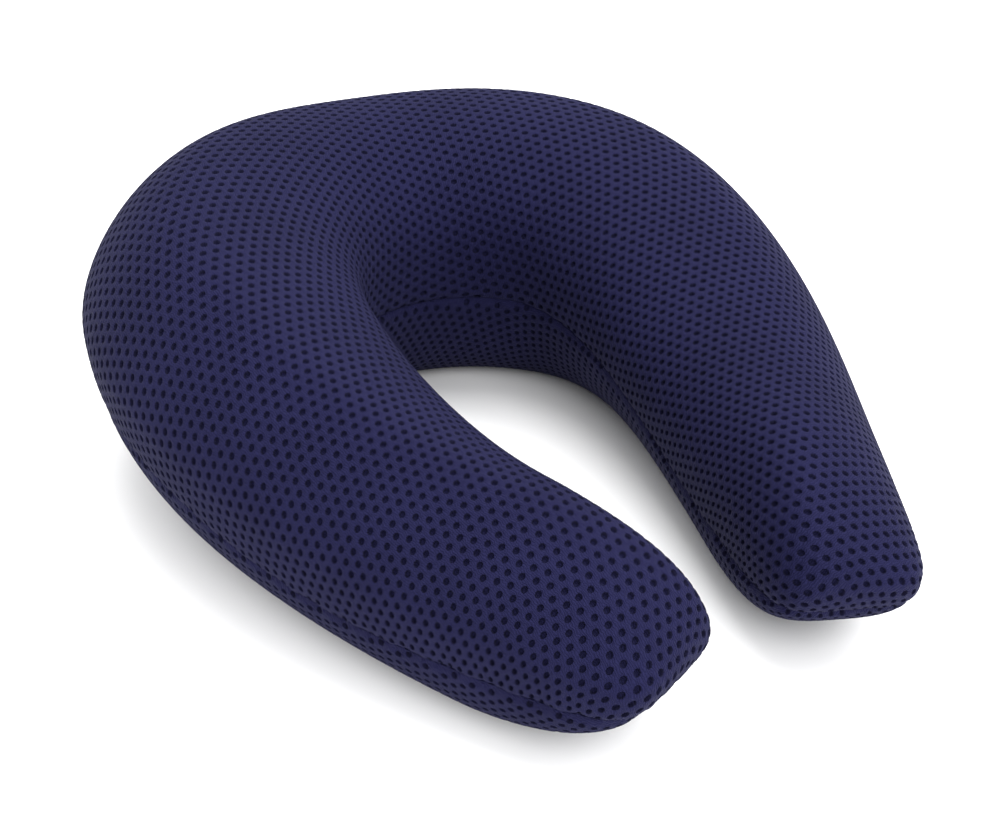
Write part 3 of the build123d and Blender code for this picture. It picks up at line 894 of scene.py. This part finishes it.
def add_camera():
    camera = bpy.data.cameras.new("camera")
    camera.sensor_width = 36.0
    camera.lens = CAMERA_LENS
    camera.shift_x, camera.shift_y = CAMERA_SHIFT
    camera.clip_start = 0.01
    thing = bpy.data.objects.new("camera", camera)
    azimuth, elevation = np.radians(CAMERA_AZIMUTH), np.radians(CAMERA_ELEVATION)
    level = Vector((np.sin(azimuth), -np.cos(azimuth), 0)) * np.cos(elevation)
    back = level + Vector((0, 0, np.sin(elevation)))
    thing.location = (Vector(CAMERA_TARGET) + back * CAMERA_DISTANCE) * MM
    aim = (-back).to_track_quat("-Z", "Y").to_matrix()
    thing.rotation_euler = aim.to_euler()
    thing.rotation_euler.rotate_axis("Z", np.radians(CAMERA_ROLL))
    bpy.context.scene.collection.objects.link(thing)
    bpy.context.scene.camera = thing


face_yarn = yarn_material("navy_mesh_yarn", *FACE_YARN)
# Shaded copies of the navy yarn: painted shade on the holes' walls and floors.
shaded_wall_yarn = yarn_material("navy_spacer_yarn_painted_shade", *SHADED_WALL_YARN)
shaded_floor_yarn = yarn_material("navy_backing_yarn_painted_shade", *SHADED_FLOOR_YARN)
thread = yarn_material("navy_thread", *FACE_YARN, rib_scale=THREAD_RIBS, use_uv=False)

for place, side, lattice_angle in (("top", 1, TOP_LATTICE_ANGLE), ("bottom", -1, BOTTOM_LATTICE_ANGLE)):
    panel = Panel(side)
    for hand_name, hand in (("left", -1), ("right", 1)):
        half = cover_half(f"cover_mesh_{place}_{hand_name}", panel, side, hand, lattice_angle,
                          face_yarn, shaded_wall_yarn, shaded_floor_yarn)
        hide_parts(f"cover_{place}_panel")

outer_seam, inner_seam = seam_line()
on_zip = np.flatnonzero(in_slot_range(outer_seam, SEAM_END_MARGIN))
before_zip, after_zip = outer_seam[:on_zip[0]], outer_seam[on_zip[-1] + 1:]
seam_path = np.concatenate([after_zip, inner_seam[::-1], before_zip])
seam = stitches("seam_stitches", [seam_path], thread, pitch=3.2, length=2.6, radius=0.3, depth=1.7)
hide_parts("cover_seam_thread")
for name, side in (("upper", 1), ("lower", -1)):
    row = stitches("zip_stitches_" + name, [zip_line(side * ZIP_STITCH_HEIGHT)], thread,
                   pitch=2.8, length=2.3, radius=0.25, depth=0.2)
    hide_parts("zip_stitching_" + name)
tack_lines = [tack_line(-TACK_ANGLE), tack_line(TACK_ANGLE)]
tacks = stitches("zip_tack_stitches", tack_lines, thread, pitch=1.1, length=1.6, radius=0.22, depth=0.2)
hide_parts("zip_end_tacks")

tape = woven_material("navy_zip_tape", *ZIP_TAPE, scale=TAPE_WEAVE)
# Both finishes carry painted shade in their hollows and a partly painted highlight on their corners.
nylon = hard_material("navy_zip_nylon", *ZIP_NYLON, roughness=0.42, grain_scale=700.0)
enamel = hard_material("navy_zip_enamel", *ZIP_ENAMEL, roughness=0.34, grain_scale=500.0)
liner = yarn_material("white_liner_knit", *LINER_KNIT, rib_scale=LINER_RIBS, use_uv=False)
liner_thread = yarn_material("white_liner_thread", *LINER_THREAD, rib_scale=THREAD_RIBS, use_uv=False)
foam = foam_material("moulded_foam")
finishes = {
    "foam_core": foam,
    "liner_top_panel": liner,
    "liner_bottom_panel": liner,
    "liner_seam_thread": liner_thread,
    "zip_tape_upper": tape,
    "zip_tape_lower": tape,
    "zip_teeth_upper": nylon,
    "zip_teeth_lower": nylon,
    "zip_top_stops": enamel,
    "zip_bottom_stop": enamel,
    "zip_slider_body": enamel,
    "zip_pull_tab": enamel,
}
for node, finish in finishes.items():
    paint(node, finish)

add_floor()
add_world()
add_light("key", (0.15, 0.0, 1.5), size=1.2, watts=19.0)
add_light("fill_right", (0.8, -0.6, 1.1), size=1.0, watts=9.0)
add_light("fill_front", (-0.3, -1.15, 0.9), size=1.0, watts=13.0)
add_camera()
bpy.context.scene.view_settings.view_transform = "Standard"
